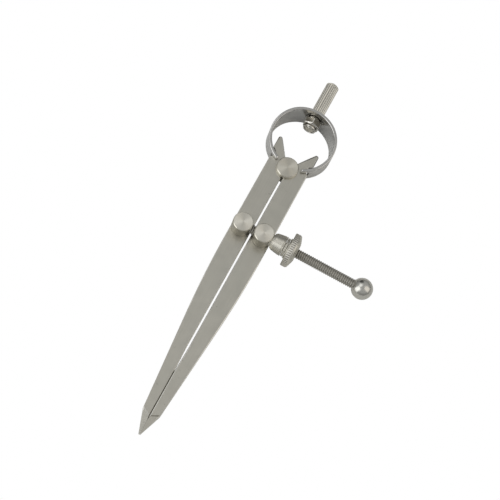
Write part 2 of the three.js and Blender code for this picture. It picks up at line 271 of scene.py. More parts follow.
def bumped(tree: NodeTree, height: NodeSocket, strength: float, depth: float) -> NodeSocket:
    """The normal of a surface that a height from 0 to 1 marks to a depth in millimetres."""
    inputs = {"Strength": strength, "Distance": depth * MM, "Height": height}
    return add(tree, "Bump", inputs).outputs["Normal"]


@dataclass(frozen=True)
class RoundField:
    """Distances and directions round an axis, worked out in a shader from Object coordinates."""

    along: NodeSocket
    radius: NodeSocket
    tangent: NodeSocket


def round_field(tree: NodeTree, axis: Axis, centre: Vector) -> RoundField:
    """Build the nodes that say how far along and how far out from an axis a point is.

    Args:
        tree: the node tree.
        axis: the direction of the axis.
        centre: a point on it, in metres.

    Returns:
        The sockets for the distance along, the radius, and the direction round the axis.
    """

    def vector_maths(operation: str, inputs: dict, output: str = "Vector") -> NodeSocket:
        """One step of vector arithmetic."""
        return add(tree, "VectorMath", inputs, operation=operation).outputs[output]

    local = vector_maths("SUBTRACT", {0: object_place(tree), 1: centre})
    along = vector_maths("DOT_PRODUCT", {0: local, 1: axis.vector}, "Value")
    lift = vector_maths("SCALE", {0: axis.vector, "Scale": along})
    flat = vector_maths("SUBTRACT", {0: local, 1: lift})
    radius = vector_maths("LENGTH", {0: flat}, "Value")
    around = vector_maths("CROSS_PRODUCT", {0: axis.vector, 1: flat})
    spaces = {"vector_type": "VECTOR", "convert_from": "OBJECT", "convert_to": "WORLD"}
    tangent = add(tree, "VectorTransform", {0: around}, **spaces).outputs[0]
    return RoundField(along, radius, tangent)


@dataclass(frozen=True)
class Finish:
    """What all steels share: bare metal, a colour and a roughness that wanders a little."""

    colour: str
    roughness: float
    wander: float = 0.05  # how far roughness wanders either way

    def start(self, name: str) -> tuple[Material, NodeTree, Node]:
        """Make a metal material with its surface patchiness.

        Args:
            name: the material's name.

        Returns:
            The material, its node tree and its Principled node.
        """
        material, tree = blank_material(name)
        metal = {"Metallic": 1.0, "Base Color": linear(self.colour)}
        shader = add(tree, "BsdfPrincipled", metal)
        add(tree, "OutputMaterial", {"Surface": shader.outputs["BSDF"]})
        # Handling and wiping leave patches a few millimetres across.
        patches = noise(tree, object_place(tree), PATCHES, 3.0)
        spread = (self.roughness - self.wander, self.roughness + self.wander)
        wire(tree, shader, {"Roughness": ranged(tree, patches, (0.3, 0.7), spread)})
        return material, tree, shader


@dataclass(frozen=True)
class GroundSteel(Finish):
    """Hardened steel, ground flat along its length: a soft, slightly warm grey."""

    grain_across: float = 0.32  # mm; the real scratches are finer, drawn coarser so that they show
    grain_along: float = 22.0
    grain_depth: float = 0.0035
    streak_colour: str = "bcb9af"
    cloud_colour: str = "c3c2b9"
    pit_colour: str = "6f6a60"

    def build(self, name: str) -> Material:
        """Make the material: long fine scratches, faint cloudiness and a few dark pits.

        Args:
            name: the material's name.

        Returns:
            The material.
        """
        material, tree, shader = self.start(name)
        place = object_place(tree)
        across, along = 1 / (self.grain_across * MM), 1 / (self.grain_along * MM)
        mapping = {"Vector": place, "Scale": (across, along, across)}
        stretched = add(tree, "Mapping", mapping).outputs[0]
        grain = noise(tree, stretched, 1.0, 4.0)
        clouds = noise(tree, place, CLOUDS, 2.0)
        specks = noise(tree, place, SPECKS, 1.0)
        pits = ranged(tree, specks, (0.74, 0.8), (0.0, 0.35))
        streaked = mixed(tree, grain, linear(self.colour), linear(self.streak_colour))
        clouded = mixed(tree, clouds, streaked, linear(self.cloud_colour))
        pitted = mixed(tree, pits, clouded, linear(self.pit_colour))
        bump = bumped(tree, grain, 0.5, self.grain_depth)
        wire(tree, shader, {"Base Color": pitted, "Normal": bump})
        return material


@dataclass(frozen=True)
class TurnedSteel(Finish):
    """Steel faced and turned on a lathe: fine rings that gather the light into two opposite fans."""

    ring: float = 0.16  # mm between tool marks, drawn coarser than the real feed so that they show
    depth: float = 0.0008
    anisotropy: float = 0.8
    mark_colour: str = "c4c0b4"

    def build(self, name: str, axis: Axis, centre: Vector) -> Material:
        """Make the material for one piece.

        Args:
            name: the material's name.
            axis: the direction it was turned about.
            centre: a point on that axis, in metres.

        Returns:
            The material.
        """
        material, tree, shader = self.start(name)
        field = round_field(tree, axis, centre)
        path = add(tree, "Math", {0: field.along, 1: field.radius}, operation="ADD").outputs[0]
        marks = {"W": path, "Scale": 1 / (self.ring * MM), "Detail": 3.0}
        rings = add(tree, "TexNoise", marks, noise_dimensions="1D").outputs["Fac"]
        inputs = {
            "Base Color": mixed(tree, rings, linear(self.colour), linear(self.mark_colour)),
            "Normal": bumped(tree, rings, 0.6, self.depth),
            "Tangent": field.tangent,
            "Anisotropic": self.anisotropy,
            # A quarter turn: the rings run round, and they scatter light along the profile.
            "Anisotropic Rotation": 0.25,
        }
        wire(tree, shader, inputs)
        return material


@dataclass(frozen=True, kw_only=True)
class ToothedSteel(Finish):
    """A thread or a knurl: painted shade darkens the roots, and the crests are painted lighter."""

    # the colour painted into the roots as shade
    root_shade_colour: str
    root_radius: float  # mm from the axis
    crest_radius: float

    def build(self, name: str, axis: Axis, centre: Vector) -> Material:
        """Make the material for one piece.

        Args:
            name: the material's name.
            axis: the direction of the piece's axis.
            centre: a point on that axis, in metres.

        Returns:
            The material.
        """
        material, tree, shader = self.start(name)
        field = round_field(tree, axis, centre)
        height = ranged(tree, field.radius, (self.root_radius * MM, self.crest_radius * MM))
        wear = noise(tree, object_place(tree), WEAR, 2.0)
        # Wear dulls patches, and leaves every crest a crest.
        rubbed = add(tree, "Math", {0: wear, 1: 0.3, 2: 0.85}, operation="MULTIPLY_ADD").outputs[0]
        product = {0: height, 1: rubbed}
        crest_light = add(tree, "Math", product, operation="MULTIPLY", use_clamp=True).outputs[0]
        # Painted shade: the colour runs from dark in the roots to light on the crests, by radius.
        colour = mixed(tree, crest_light, linear(self.root_shade_colour), linear(self.colour))
        wire(tree, shader, {"Base Color": colour})
        return material


@dataclass(frozen=True)
class PolishedSteel(Finish):
    """Steel polished to a mirror, with the hairline scratches of handling."""

    scratch: float = 0.0006  # mm deep

    def build(self, name: str) -> Material:
        """Make the material.

        Args:
            name: the material's name.

        Returns:
            The material.
        """
        material, tree, shader = self.start(name)
        mapping = {"Vector": object_place(tree), "Scale": HAIRS}
        hairs = add(tree, "Mapping", mapping).outputs[0]
        marks = noise(tree, hairs, 1.0, 3.0)
        wire(tree, shader, {"Normal": bumped(tree, marks, 0.4, self.scratch)})
        return material


LEG_STEEL = GroundSteel("d8d5cd", 0.34)
EDGE_STEEL = PolishedSteel("dddbd5", 0.26, wander=0.03)
SHADE_LINE_STEEL = PolishedSteel("6e6a60", 0.4)  # painted shade: a dark line along the left leg's inner edges near the points and along the right leg's bevel line
TURNED = TurnedSteel("e8e5da", 0.38, wander=0.02)
TURNED_CHAMFER = TurnedSteel("e2dfd4", 0.36, wander=0.02, anisotropy=0.5)
POST_HEAD = TurnedSteel("f4f1e8", 0.34, wander=0.02, mark_colour="dad6ca")
# Painted shade: the posts' sides are the heads' turned steel, painted darker.
SHADED_POST_SIDE = TurnedSteel("c2beb2", 0.34, wander=0.02, anisotropy=0.4, mark_colour="b4b0a4")
NUT_TURNED = TurnedSteel("d3d1c8", 0.43, wander=0.01, depth=0.0002, anisotropy=0.7, mark_colour="cdcac0")
SPRING_STRIP = TurnedSteel("d9d9d8", 0.24, wander=0.03, ring=0.5, anisotropy=0.5, mark_colour="cfcfce")
# Painted shade: the strip's rims are painted darker than the strip, for the dark line along them.
SHADED_SPRING_RIM = PolishedSteel("c6c5c3", 0.2, wander=0.03)
THREAD = ToothedSteel("b6b4ae", 0.5, root_shade_colour="a3a19a", root_radius=2.0, crest_radius=2.38)
HANDLE_KNURL = ToothedSteel("f8f5ec", 0.33, root_shade_colour="8a857a", root_radius=3.02, crest_radius=3.16)
NUT_KNURL = ToothedSteel("e8e6df", 0.44, root_shade_colour="8a867c", root_radius=8.35, crest_radius=8.46)
BALL = PolishedSteel("c8c7c2", 0.25, wander=0.01, scratch=0.00012)
BRIGHT = PolishedSteel("938e82", 0.2, wander=0.03)


# ---------- making and placing pieces ----------


def turned(
    profile: Profile, axis: Axis, centre: Vector, steps: int = STEPS, turns: int = 1, pitch: float = 0.0
) -> BMesh:
    """Turn a profile about an axis.

    Args:
        profile: (along, radius) pairs in millimetres, from pole to pole or back to the first pair.
        axis: the direction of the axis.
        centre: the point on it that lies on the plane through the origin, in metres.
        steps: facets in a turn.
        turns: how many turns it makes.
        pitch: how far it climbs in a turn, in millimetres.

    Returns:
        The mesh, closed where it doesn't climb.
    """
    bm = bmesh.new()
    verts = [
        bm.verts.new(centre + axis.vector * along * MM + axis.side * radius * MM) for along, radius in profile
    ]
    edges = [bm.edges.new(pair) for pair in zip(verts, verts[1:])]
    bmesh.ops.spin(
        bm, geom=verts + edges, cent=centre, axis=axis.vector, dvec=axis.vector * (pitch * MM / steps),
        angle=2 * math.pi * turns, steps=steps * turns, use_merge=pitch == 0,
    )
    bmesh.ops.remove_doubles(bm, verts=bm.verts, dist=WELD)
    bmesh.ops.recalc_face_normals(bm, faces=bm.faces)
    return bm


def knurl(
    bm: BMesh, axis: Axis, centre: Vector, span: tuple[float, float], crest: float, depth: float,
    facets: int = STEPS,
) -> None:
    """Press straight V teeth into a turned surface, one for every two facets.

    Args:
        bm: a mesh made by turned().
        axis: the axis it was turned about.
        centre: a point on that axis, in metres.
        span: where along the axis the teeth start and end, in millimetres.
        crest: the radius of the crests, in millimetres.
        depth: how deep the teeth are, in millimetres.
        facets: facets round the mesh.
    """
    across = axis.vector.cross(axis.side)
    step = 2 * math.pi / facets
    least_radius = crest - CREST_REACH
    for vert in bm.verts:
        local = vert.co - centre
        along = local.dot(axis.vector)
        flat = local - axis.vector * along
        inside = span[0] - SPAN_REACH <= along / MM <= span[1] + SPAN_REACH
        if not inside or flat.length < least_radius * MM:
            continue
        turn = math.atan2(flat.dot(across), flat.dot(axis.side))
        if round(turn / step) % 2:
            vert.co -= flat.normalized() * depth * MM
    for face in bm.faces:
        local = face.calc_center_median() - centre
        along = local.dot(axis.vector)
        radius = (local - axis.vector * along).length
        if span[0] <= along / MM <= span[1] and radius > (least_radius - depth) * MM:
            face.material_index = Layer.DETAIL


def copy_of(node: str) -> BMesh:
    """Copy a CAD node's mesh, welded and with its flat faces joined up.

    Args:
        node: the CAD node.

    Returns:
        The mesh.
    """
    bm = bmesh.new()
    bm.from_mesh(frame["nodes"][node].data)
    for face in bm.faces:
        face.material_index = Layer.BODY
    bmesh.ops.remove_doubles(bm, verts=bm.verts, dist=WELD)
    bmesh.ops.dissolve_limit(bm, angle_limit=math.radians(0.2), verts=bm.verts, edges=bm.edges)
    bmesh.ops.recalc_face_normals(bm, faces=bm.faces)
    return bm


def bevel(bm: BMesh, edges: list[BMEdge], offset: float, segments: int) -> list[BMFace]:
    """Bevel edges by an offset in millimetres, and return the new faces."""
    made = bmesh.ops.bevel(
        bm, geom=edges, offset=offset * MM, offset_type="OFFSET", segments=segments, profile=0.5,
        affect="EDGES", material=-1,
    )
    return made["faces"]


def cut(bm: BMesh, place: float, normal: int = 1, clear: bool = False) -> None:
    """Cut a mesh square to X at a place in millimetres, and clear what lies past it if wanted."""
    bmesh.ops.bisect_plane(
        bm, geom=[*bm.verts, *bm.edges, *bm.faces], dist=CUT, plane_co=(place * MM, 0, 0),
        plane_no=(normal, 0, 0), clear_outer=clear,
    )


def paint(
    bm: BMesh, axis: Axis, layer: Layer = Layer.EDGE, least: float = SLOPING[0], most: float = SLOPING[1]
) -> None:
    """Give faces a material by how far their normals point along an axis.

    Args:
        bm: the mesh.
        axis: the axis.
        layer: the material number.
        least: the faces' normals point further along the axis than this.
        most: and less far than this. Both ends of the range pick out chamfers if left out.
    """
    for face in bm.faces:
        if least < abs(face.normal.dot(axis.vector)) < most:
            face.material_index = layer


def soften(
    bm: BMesh, offset: float, segments: int = 1, wanted: Callable[[BMEdge], bool] | None = None,
    layer: Layer = Layer.EDGE, least_angle: float = 28.0,
) -> None:
    """Break the sharp edges of a mesh, and give the new faces a material of their own.

    Args:
        bm: the mesh.
        offset: width of the broken edge, in millimetres.
        segments: facets across it.
        wanted: says whether an edge is to be broken; all sharp ones if left out.
        layer: the material number of the new faces.
        least_angle: how far an edge bends, in degrees, to count as sharp.
    """
    least = math.radians(least_angle)
    edges = [
        e
        for e in bm.edges
        if len(e.link_faces) == 2 and e.calc_face_angle() > least and (wanted is None or wanted(e))
    ]
    for face in bevel(bm, edges, offset, segments):
        face.material_index = layer


def show(name: str, data: ID) -> Object:
    """Put a new object with its mesh, light or camera into the scene."""
    item = bpy.data.objects.new(name, data)
    bpy.context.scene.collection.objects.link(item)
    return item


def mesh_of(bm: BMesh, name: str, materials: Sequence[Material]) -> Mesh:
    """Turn a finished bmesh into a mesh, and free it.

    Args:
        bm: the bmesh.
        name: the mesh's name.
        materials: its materials by number.

    Returns:
        The mesh.
    """
    mesh = bpy.data.meshes.new(name)
    bm.to_mesh(mesh)
    bm.free()
    for material in materials:
        mesh.materials.append(material)
    return mesh


def publish(
    bm: BMesh, node: str, materials: Sequence[Material], ride: bool = True, suffix: str = "",
    sharp: float = SHARP,
) -> Object:
    """Make a finished mesh the piece that is shown for a CAD node.

    Args:
        bm: the finished mesh, in the row frame.
        node: the CAD node it stands for.
        materials: its materials by number.
        ride: whether it moves rigidly with the node's body.
        suffix: added to the piece's name where a node is shown by more than one.
        sharp: how far an edge bends, in radians, to shade as an edge.

    Returns:
        The piece.
    """
    name = f"finished_{node}{suffix}"
    mesh = mesh_of(bm, name, materials)
    mesh.shade_smooth()
    mesh.set_sharp_from_angle(angle=sharp)
    piece = show(name, mesh)
    if ride:
        bodies = frame["record"]["behaviour"]["bodies"]
        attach(piece, next(body for body, nodes in bodies.items() if node in nodes))
    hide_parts(node)
    log.info("%s: %d faces", name, len(mesh.polygons))
    return piece


def publish_copy(node: str, width: float, materials: Sequence[Material]) -> None:
    """Show a CAD node as it is, with its edges broken.

    Args:
        node: the CAD node.
        width: width of the broken edges, in millimetres.
        materials: the steels of the faces and of the broken edges.
    """
    bm = copy_of(node)
    soften(bm, width)
    publish(bm, node, materials)


# ---------- sub-assemblies ----------


@dataclass(frozen=True)
class SubAssembly:
    """Pieces that belong together."""

    edge: Material  # the bright steel of broken edges


@dataclass(frozen=True)
class LegFinish:
    """What differs between the two legs."""

    node: str
    inner_break: float  # width of the broken edges along the middle
    inner_facets: int
    inner_layer: Layer  # the steel of those edges where the legs meet; DETAIL is the painted dark shade line
    line_layer: Layer  # the steel of the line where the point's bevel starts; DETAIL is the painted dark shade line


@dataclass(frozen=True)
class Legs(SubAssembly):
    """The two flat legs, ground all over with their long edges broken."""

    finishes: tuple[LegFinish, LegFinish] = (
        # The left leg's inner edges and the right leg's bevel line take the painted dark shade line
        # (Layer.DETAIL).
        LegFinish("left_leg", 0.34, 1, Layer.DETAIL, Layer.EDGE),
        LegFinish("right_leg", 0.42, 2, Layer.EDGE, Layer.DETAIL),
    )
    edge_break: float = 0.34
    edge_facets: int = 2
    inner_edge: float = 0.55  # edges nearer the centre line than this are inner ones
    outer_edge: float = 0.97  # edges that reach further than this are outer ones
    horn_break: float = 0.8
    horn_start: float = 7.5  # the horns' rounder edges start this far above the fulcrum's axis
    point_clearance: float = 10.6  # the last of the points stays sharp
    meeting_gap: float = 0.2  # inner edges nearer the centre line than this meet at rest
    meeting_start: float = -117.0  # where along Y they begin to meet
    drawn_gap: float = 0.03
    bevel_line: float = 0.18  # the ground line where each point's bevel starts
    bevel_reach: float = 2.0  # above the points' clearance
    bevel_slope: tuple[float, float] = (0.95, 0.998)  # range of the bevels' normals along Z
    bevel_angle: float = 5.0  # degrees, less than the bevels slope
    sharp_angle: float = 4.0  # degrees, so that the bevels' lines keep the faces beside them flat

    def build(self) -> None:
        """Make both legs."""
        steel = LEG_STEEL.build("ground_leg_steel")
        shade_line = SHADE_LINE_STEEL.build("painted_shade_line_steel")
        for leg in self.finishes:
            bm = copy_of(leg.node)
            limit = low(leg.node).y + self.point_clearance * MM
            self.close_seam(bm, limit)
            inner = partial(self.is_inner, limit=limit)
            soften(bm, leg.inner_break, leg.inner_facets, inner, leg.inner_layer)
            # Above the points the painted shade line gives way to the bright edge steel.
            for face in bm.faces:
                above = face.calc_center_median().y > self.meeting_start * MM
                if face.material_index == Layer.DETAIL and above:
                    face.material_index = Layer.EDGE
            line = partial(self.starts_bevel, limit=limit)
            soften(bm, self.bevel_line, 1, line, leg.line_layer, self.bevel_angle)
            soften(bm, self.horn_break, self.edge_facets, self.is_horn)
            soften(bm, self.edge_break, self.edge_facets, partial(self.is_outer, limit=limit))
            publish(bm, leg.node, [steel, self.edge, shade_line], sharp=math.radians(self.sharp_angle))

    def close_seam(self, bm: BMesh, limit: float) -> None:
        """Draw the legs' inner edges together where they meet at rest.

        Args:
            bm: a leg.
            limit: how low the upper end of the meeting edges may be, in metres.
        """
        for vert in bm.verts:
            if abs(vert.co.x) < self.meeting_gap * MM:
                vert.co.x = math.copysign(self.drawn_gap * MM, vert.co.x)
                if vert.co.y > limit:
                    vert.co.y = self.meeting_start * MM

    def is_horn(self, edge: BMEdge) -> bool:
        """Say whether an edge belongs to the horn."""
        return min(v.co.y for v in edge.verts) > self.horn_start * MM

    def is_inner(self, edge: BMEdge, limit: float) -> bool:
        """Say whether an edge runs along the middle, with its upper end above a limit in metres."""
        near = all(abs(v.co.x) < self.inner_edge * MM for v in edge.verts)
        return near and max(v.co.y for v in edge.verts) > limit

    def starts_bevel(self, edge: BMEdge, limit: float) -> bool:
        """Say whether a point's bevel starts at an edge.

        Args:
            edge: the edge.
            limit: how high its lower end may be, in metres.

        Returns:
            True if it does.
        """
        slopes = sorted(abs(face.normal.z) for face in edge.link_faces)
        least, most = self.bevel_slope
        low_enough = min(v.co.y for v in edge.verts) < limit + self.bevel_reach * MM
        return low_enough and len(slopes) == 2 and slopes[1] > 0.999 and least < slopes[0] < most

    def is_outer(self, edge: BMEdge, limit: float) -> bool:
        """Say whether an edge lies away from the middle, and all above a limit in metres."""
        away = any(abs(v.co.x) > self.outer_edge * MM for v in edge.verts)
        return away and min(v.co.y for v in edge.verts) > limit


@dataclass(frozen=True)
class Fulcrum(SubAssembly):
    """The stud that both legs swing on: two round heads on a waist."""

    head: float = 1.7
    waist: float = 3.2
    chamfer: float = 0.36

    def build(self) -> None:
        """Make the stud."""
        radius, top = high("fulcrum_stud").x / MM, high("fulcrum_stud").z / MM
        rim = radius - self.chamfer
        profile = [
            (0, 0), (0, rim), (self.chamfer, radius), (self.head, radius), (self.head, self.waist),
            (top - self.head, self.waist), (top - self.head, radius), (top - self.chamfer, radius),
            (top, rim), (top, 0),
        ]
        centre = Vector((0, 0, 0))
        bm = turned(profile, Axis.Z, centre)
        paint(bm, Axis.Z)
        steel = TURNED.build("turned_stud_steel", Axis.Z, centre)
        chamfer = TURNED_CHAMFER.build("turned_stud_chamfer", Axis.Z, centre)
        publish(bm, "fulcrum_stud", [steel, chamfer])


@dataclass(frozen=True)
class BowSpring(SubAssembly):
    """The bow: one strip of spring steel, rolled round, narrowing from the crown to its forked ends."""

    thickness: float = 1.5
    end_width: float = 8.2
    taper_top: float = 30.0  # the strip has its full width above this
    taper_bottom: float = -1.3
    end_angle: float = 66.8  # degrees below the ring's centre line
    fork_angle: float = 52.0
    fork_width: float = 4.5
    hole_radius: float = 2.52
    rim_radius: float = 0.42
    corner_radius: float = 0.8
    round_facets: int = 4  # across each rounded rim and corner
    flat_inset: float = 0.12  # keeps the broad faces flat up to their rims
    stations: int = 40  # along the tapered edge
    hole_facets: int = 12  # round half of the hole
    bends: int = 72

    def build(self) -> None:
        """Make the two halves, which meet at the crown."""
        centre = self.centre()
        steel = SPRING_STRIP.build("spring_strip_steel", Axis.Z, centre)
        rim = SHADED_SPRING_RIM.build("polished_strip_edge_painted_shade")
        for side, suffix, body in ((-1, "_left", "left_leg"), (1, "_right", "right_leg")):
            bm = self.strip()
            self.roll(bm, side, centre)
            half = publish(bm, "bow_spring", [steel, rim], ride=False, suffix=suffix)
            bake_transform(half)

    def centre(self) -> Vector:
        """The centre of the ring, in metres."""
        corner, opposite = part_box("bow_spring")
        return Vector((0, opposite.y - opposite.x, (corner.z + opposite.z) / 2))

    def half_width(self, angle: float) -> float:
        """The strip's half width at an angle up from the ring's centre line.

        Args:
            angle: the angle in radians.

        Returns:
            Half of the width, in millimetres.
        """
        corner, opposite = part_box("bow_spring")
        wide, narrow = (opposite.z - corner.z) / 2 / MM, self.end_width / 2
        y = self.centre().y / MM + (opposite.x / MM) * math.sin(angle)
        share = (y - self.taper_bottom) / (self.taper_top - self.taper_bottom)
        return narrow + (wide - narrow) * min(1.0, max(0.0, share))

    def strip(self) -> BMesh:
        """Make half of the strip flat: length along X from the crown, thickness along Y, width along Z.

        Returns:
            The flat mesh, ready to be rolled.
        """
        neutral = high("bow_spring").x / MM - self.thickness / 2
        end = neutral * math.radians(90 + self.end_angle)
        root = neutral * math.radians(90 + self.fork_angle)
        stations = [end * i / self.stations for i in range(self.stations + 1)]
        edge = [(s, self.half_width(math.pi / 2 - s / neutral)) for s in stations]
        slot = self.fork_width / 2
        hole = [
            (self.hole_radius * math.sin(turn), self.hole_radius * math.cos(turn))
            for turn in (math.pi * i / self.hole_facets for i in range(self.hole_facets, -1, -1))
        ]
        outline = [*edge, (end, slot), (root, slot), (root, -slot), (end, -slot)]
        outline += [(s, -w) for s, w in reversed(edge)] + hole
        bm = bmesh.new()
        corners = [bm.verts.new((s * MM, 0, w * MM)) for s, w in outline]
        face = bm.faces.new(corners)
        grown = bmesh.ops.extrude_face_region(bm, geom=[face])["geom"]
        raised = [g for g in grown if isinstance(g, BMVert)]
        bmesh.ops.translate(bm, vec=(0, self.thickness * MM, 0), verts=raised)
        bmesh.ops.remove_doubles(bm, verts=bm.verts, dist=WELD)
        bmesh.ops.recalc_face_normals(bm, faces=bm.faces)
        corners = [
            e
            for e in bm.edges
            if all(abs(v.co.x - end * MM) < EXACT for v in e.verts)
            and abs(e.verts[0].co.z - e.verts[1].co.z) < EXACT
        ]
        bevel(bm, corners, self.corner_radius, self.round_facets)
        # The other half joins on at X zero, so the edges there stay whole.
        soften(bm, self.rim_radius, self.round_facets, lambda e: max(v.co.x for v in e.verts) > EXACT)
        broad = [f for f in bm.faces if abs(f.normal.y) > 0.999 and f.calc_area() > 10 * MM * MM]
        bmesh.ops.inset_region(
            bm, faces=broad, thickness=self.flat_inset * MM, use_even_offset=True, use_boundary=True
        )
        for i in range(1, self.bends):
            cut(bm, end * i / self.bends)
        return bm

    def roll(self, bm: BMesh, side: int, centre: Vector) -> None:
        """Roll the flat strip round the ring's centre.

        Args:
            bm: the flat strip.
            side: -1 for the left half and 1 for the right.
            centre: the ring's centre, in metres.
        """
        outer = high("bow_spring").x
        neutral, inner = outer - self.thickness * MM / 2, outer - self.thickness * MM
        paint(bm, Axis.Z, Layer.EDGE, SLOPING[0], 2.0)
        for vert in bm.verts:
            angle = math.pi / 2 - vert.co.x / neutral
            radius = inner + vert.co.y
            around = Vector((side * radius * math.cos(angle), radius * math.sin(angle), vert.co.z))
            vert.co = Vector((0, centre.y, centre.z)) + around
        bmesh.ops.recalc_face_normals(bm, faces=bm.faces)


@dataclass(frozen=True)
class Handle(SubAssembly):
    """The knurled handle, its washer and the lock nut inside the bow."""

    shank: float = 2.4
    shank_chamfer: float = 0.35
    foot_gap: float = 0.1  # between the bow and the handle's foot
    foot_break: float = 0.3
    plain: float = 0.7  # plain collar at each end of the knurl
    run_out: float = 0.15  # the length in which the teeth fade
    chamfer: float = 0.9
    end_break: tuple[float, float] = (0.12, 0.15)  # length and drop
    teeth_depth: float = 0.33
    facets: int = 36
    washer_break: float = 0.12
    nut_break: float = 0.28

    def build(self) -> None:
        """Make the three pieces."""
        centre = on_axis(middle("knurled_handle"), Axis.Y)
        radius, top = high("knurled_handle").x / MM, high("knurled_handle").y / MM
        start = low("knurled_handle").y / MM
        foot = high("bow_spring").y / MM + self.foot_gap
        knurl_start, knurl_end = foot + self.plain, top - self.chamfer - self.plain / 2
        end_length, end_drop = self.end_break
        profile = [
            (start, 0), (start, self.shank - self.shank_chamfer),
            (start + self.shank_chamfer, self.shank), (foot, self.shank),
            (foot, radius - self.foot_break), (foot + self.foot_break, radius),
            (knurl_start - self.run_out, radius), (knurl_start, radius),
            (knurl_end, radius), (knurl_end + self.run_out, radius), (top - self.chamfer, radius),
            (top - end_length, radius - self.chamfer), (top, radius - self.chamfer - end_drop), (top, 0),
        ]
        bm = turned(profile, Axis.Y, centre, self.facets)
        paint(bm, Axis.Y)
        knurl(bm, Axis.Y, centre, (knurl_start, knurl_end), radius, self.teeth_depth, self.facets)
        steel = TURNED.build("turned_handle_steel", Axis.Y, centre)
        teeth = HANDLE_KNURL.build("knurled_handle_steel", Axis.Y, centre)
        publish(bm, "knurled_handle", [steel, self.edge, teeth])
        bright = BRIGHT.build("bright_nut_steel")
        for node, width in (("handle_washer", self.washer_break), ("handle_lock_nut", self.nut_break)):
            publish_copy(node, width, [bright, self.edge])


@dataclass(frozen=True)
class Posts(SubAssembly):
    """The two posts that carry the screw, with the washers and clips that hold them in the legs."""

    washer_break: float = 0.08
    clip_break: float = 0.06

    def build(self) -> None:
        """Make the posts and what holds them."""
        bright = BRIGHT.build("bright_clip_steel")
        for side in ("left", "right"):
            post = f"{side}_post"
            centre = on_axis(middle(post), Axis.Z)
            steel = POST_HEAD.build(f"turned_{post}_steel", Axis.Z, centre)
            shaded_side_steel = SHADED_POST_SIDE.build(f"turned_{post}_side", Axis.Z, centre)
            bm = copy_of(post)
            paint(bm, Axis.Z)
            # Faces that look sideways take the side steel, painted darker as shade.
            paint(bm, Axis.Z, Layer.DETAIL, -1.0, SLOPING[0])
            chamfer = TURNED_CHAMFER.build(f"turned_{post}_chamfer", Axis.Z, centre)
            publish(bm, post, [steel, chamfer, shaded_side_steel])
            publish_copy(f"{post}_washer", self.washer_break, [bright, self.edge])
            publish_copy(f"{post}_clip", self.clip_break, [bright, self.edge])


@dataclass(frozen=True)
class Screw(SubAssembly):
    """The adjusting screw with its cut thread, its pin and the ball on its end."""

    pitch: float = 25.4 / 24
    depth: float = 0.38
    crest_span: tuple[float, float] = (0.42, 0.58)  # the flat crest, in shares of the pitch
    facets: int = 32
    ball_overlap: float = 8.0  # from the thread's end to the ball's far side
    pin_break: float = 0.1

    def build(self) -> None:
        """Make the screw, the pin and the ball."""
        node = "adjusting_screw"
        centre = on_axis(middle(node), Axis.X)
        crest = half_height(node) / MM
        end = high("stop_ball").x / MM - self.ball_overlap
        bm = self.thread(low(node).x / MM, end, crest, centre)
        publish(bm, node, [THREAD.build("cut_thread_steel", Axis.X, centre)])
        publish_copy("screw_pin", self.pin_break, [BRIGHT.build("bright_pin_steel"), self.edge])
        bm = bmesh.new()
        radius = half_height("stop_ball")
        place = Vector((high("stop_ball").x - radius, centre.y, centre.z))
        matrix = Matrix.Translation(place) @ Matrix.Rotation(math.pi / 2, 4, "Y")
        bmesh.ops.create_uvsphere(bm, u_segments=STEPS, v_segments=STEPS // 2, radius=radius, matrix=matrix)
        publish(bm, "stop_ball", [BALL.build("polished_ball_steel")])

    def thread(self, start: float, end: float, crest: float, centre: Vector) -> BMesh:
        """Cut a right-hand V thread.

        Args:
            start: where it starts along X, in millimetres.
            end: where it ends.
            crest: its outer radius.
            centre: the point on its axis at X zero, in metres.

        Returns:
            The closed threaded rod.
        """
        root = crest - self.depth
        turns = math.ceil((end - start) / self.pitch) + 2
        shape = [(0.0, root), *((share, crest) for share in self.crest_span), (1.0, root)]
        profile = [(start + (share - 1) * self.pitch, radius) for share, radius in shape]
        bm = turned(profile, Axis.X, centre, self.facets, turns, self.pitch)
        cut(bm, start, -1, clear=True)
        cut(bm, end, 1, clear=True)
        bmesh.ops.holes_fill(bm, edges=[e for e in bm.edges if e.is_boundary], sides=0)
        bmesh.ops.recalc_face_normals(bm, faces=bm.faces)
        return bm


